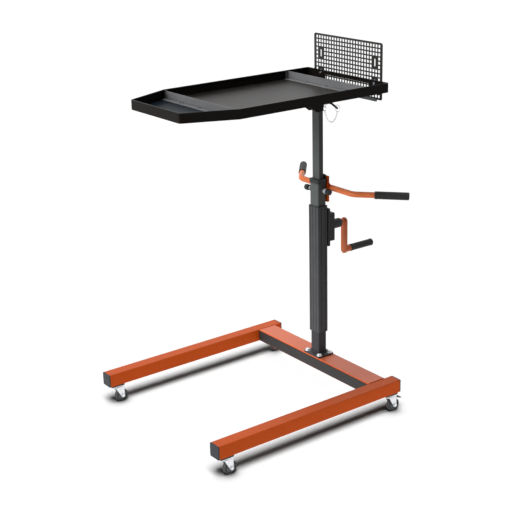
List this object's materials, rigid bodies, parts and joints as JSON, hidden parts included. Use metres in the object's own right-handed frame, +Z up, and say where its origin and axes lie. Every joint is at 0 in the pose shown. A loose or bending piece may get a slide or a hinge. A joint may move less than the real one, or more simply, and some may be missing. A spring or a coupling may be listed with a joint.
{
  "type": "multi-purpose work table",
  "caption": "Mobile work table: U-shaped wheeled frame, crank-lifted column, handlebar, divided tapered tray and a perforated tool panel.",
  "frame": {"origin": "centre of the bounding box, at the floor under the casters", "axes": "+Z up; -Y towards the open end of the legs and the tray's nose; +X to the right seen from behind the crank"},
  "size_m": [0.77, 1.022, 1.341],
  "materials": {
    "orange_powder_coat": "satin powder coat",
    "grey_blue_paint": "satin paint",
    "dark_grey_paint": "fine textured powder coat",
    "grey_teal_paint": "satin paint",
    "dark_plastic": "moulded, matt",
    "grip_rubber": "moulded, matt",
    "guide_plastic": "machined, smooth",
    "zinc_plated_steel": "zinc plated",
    "bronze": "turned",
    "brake_lining": "pressed fibre, matt",
    "black_steel": "blackened",
    "grey_wheel_plastic": "moulded, satin",
    "tyre_rubber": "moulded, matt",
    "pedal_plastic": "moulded, matt"
  },
  "bodies": {
    "base": {"leg_left": "orange_powder_coat", "leg_right": "orange_powder_coat", "crossbar": "orange_powder_coat", "crossbar_strip": "dark_grey_paint", "leg_caps": "dark_plastic", "caster_pads": "dark_plastic", "caster_plates": "zinc_plated_steel", "base_post": "grey_blue_paint", "base_bolts": "zinc_plated_steel", "outer_column": "grey_blue_paint", "column_screws": "zinc_plated_steel", "column_guides": "guide_plastic", "gearbox_plate": "dark_grey_paint", "gearbox_housing": "dark_grey_paint", "shaft_bushes": "bronze"},
    "lift": {"inner_column": "grey_blue_paint", "lift_rack": "zinc_plated_steel", "slide_guide": "guide_plastic", "column_collar": "dark_plastic", "bar_plate": "orange_powder_coat", "handlebar": "orange_powder_coat", "bar_bolts": "zinc_plated_steel", "bar_grip_left": "grip_rubber", "bar_grip_right": "grip_rubber", "mast_guide": "guide_plastic"},
    "crank": {"pinion_shaft": "zinc_plated_steel", "brake_disc": "brake_lining", "crank_hub": "dark_plastic", "crank_arm": "orange_powder_coat", "crank_nut": "zinc_plated_steel"},
    "crank_handle": {"crank_grip": "grip_rubber"},
    "clamp_left": {"clamp_knob_left": "dark_plastic"},
    "clamp_right": {"clamp_knob_right": "dark_plastic"},
    "mast": {"upper_tube": "grey_teal_paint", "upper_guide": "guide_plastic", "tray_bracket": "dark_grey_paint", "tray": "dark_grey_paint", "front_divider": "dark_grey_paint", "rear_divider": "dark_grey_paint", "tray_bolts": "zinc_plated_steel", "tool_panel": "dark_grey_paint", "panel_rail": "grey_teal_paint", "pin_anchor": "zinc_plated_steel", "pin_chain": "zinc_plated_steel"},
    "pin": {"lock_pin": "black_steel", "pin_ring": "zinc_plated_steel"},
    "swivel_front_left": {"fork_front_left": "zinc_plated_steel"},
    "roll_front_left": {"wheel_front_left": "grey_wheel_plastic", "tyre_front_left": "tyre_rubber"},
    "swivel_front_right": {"fork_front_right": "zinc_plated_steel"},
    "roll_front_right": {"wheel_front_right": "grey_wheel_plastic", "tyre_front_right": "tyre_rubber"},
    "swivel_rear_left": {"fork_rear_left": "zinc_plated_steel"},
    "roll_rear_left": {"wheel_rear_left": "grey_wheel_plastic", "tyre_rear_left": "tyre_rubber"},
    "pedal_left": {"brake_pedal_left": "pedal_plastic"},
    "swivel_rear_right": {"fork_rear_right": "zinc_plated_steel"},
    "roll_rear_right": {"wheel_rear_right": "grey_wheel_plastic", "tyre_rear_right": "tyre_rubber"},
    "pedal_right": {"brake_pedal_right": "pedal_plastic"}
  },
  "joints": [
    {"name": "column_lift", "type": "slide", "parent": "base", "child": "lift", "axis": [0, 0, 1], "range_m": [-0.025, 0.24]},
    {"name": "crank_turn", "type": "hinge", "parent": "base", "child": "crank", "pos_m": [0, 0.23895, 0.642], "axis": [0, 1, 0], "range_deg": [-108, 1020]},
    {"name": "crank_grip_spin", "type": "hinge", "parent": "crank", "child": "crank_handle", "pos_m": [0, 0.23895, 0.528], "axis": [0, 1, 0], "continuous": true},
    {"name": "clamp_left_turn", "type": "hinge", "parent": "lift", "child": "clamp_left", "pos_m": [-0.05, 0.23195, 0.792], "axis": [-1, 0, 0], "range_deg": [-360, 0]},
    {"name": "clamp_right_turn", "type": "hinge", "parent": "lift", "child": "clamp_right", "pos_m": [0.05, 0.24595, 0.792], "axis": [1, 0, 0], "range_deg": [-360, 0]},
    {"name": "mast_slide", "type": "slide", "parent": "lift", "child": "mast", "axis": [0, 0, 1], "range_m": [-0.215, 0.06]},
    {"name": "pin_pull", "type": "slide", "parent": "mast", "child": "pin", "axis": [0, 1, 0], "range_m": [0, 0.03], "deforming": ["pin_chain"]},
    {"name": "swivel_turn_front_left", "type": "hinge", "parent": "base", "child": "swivel_front_left", "pos_m": [-0.36, -0.47305, 0.06], "axis": [0, 0, 1], "continuous": true},
    {"name": "wheel_turn_front_left", "type": "hinge", "parent": "swivel_front_left", "child": "roll_front_left", "pos_m": [-0.36, -0.45105, 0.025], "axis": [1, 0, 0], "continuous": true},
    {"name": "swivel_turn_front_right", "type": "hinge", "parent": "base", "child": "swivel_front_right", "pos_m": [0.36, -0.47305, 0.06], "axis": [0, 0, 1], "continuous": true},
    {"name": "wheel_turn_front_right", "type": "hinge", "parent": "swivel_front_right", "child": "roll_front_right", "pos_m": [0.36, -0.45105, 0.025], "axis": [1, 0, 0], "continuous": true},
    {"name": "swivel_turn_rear_left", "type": "hinge", "parent": "base", "child": "swivel_rear_left", "pos_m": [-0.36, 0.27595, 0.06], "axis": [0, 0, 1], "continuous": true},
    {"name": "wheel_turn_rear_left", "type": "hinge", "parent": "swivel_rear_left", "child": "roll_rear_left", "pos_m": [-0.36, 0.29795, 0.025], "axis": [1, 0, 0], "continuous": true},
    {"name": "pedal_press_left", "type": "hinge", "parent": "swivel_rear_left", "child": "pedal_left", "pos_m": [-0.36, 0.30045, 0.056], "axis": [-1, 0, 0], "range_deg": [0, 12]},
    {"name": "swivel_turn_rear_right", "type": "hinge", "parent": "base", "child": "swivel_rear_right", "pos_m": [0.36, 0.27595, 0.06], "axis": [0, 0, 1], "continuous": true},
    {"name": "wheel_turn_rear_right", "type": "hinge", "parent": "swivel_rear_right", "child": "roll_rear_right", "pos_m": [0.36, 0.29795, 0.025], "axis": [1, 0, 0], "continuous": true},
    {"name": "pedal_press_right", "type": "hinge", "parent": "swivel_rear_right", "child": "pedal_right", "pos_m": [0.36, 0.30045, 0.056], "axis": [-1, 0, 0], "range_deg": [0, 12]}
  ],
  "couplings": [
    {"joint": "crank_turn", "follows": "column_lift", "rad_per_m": 74.074}
  ]
}
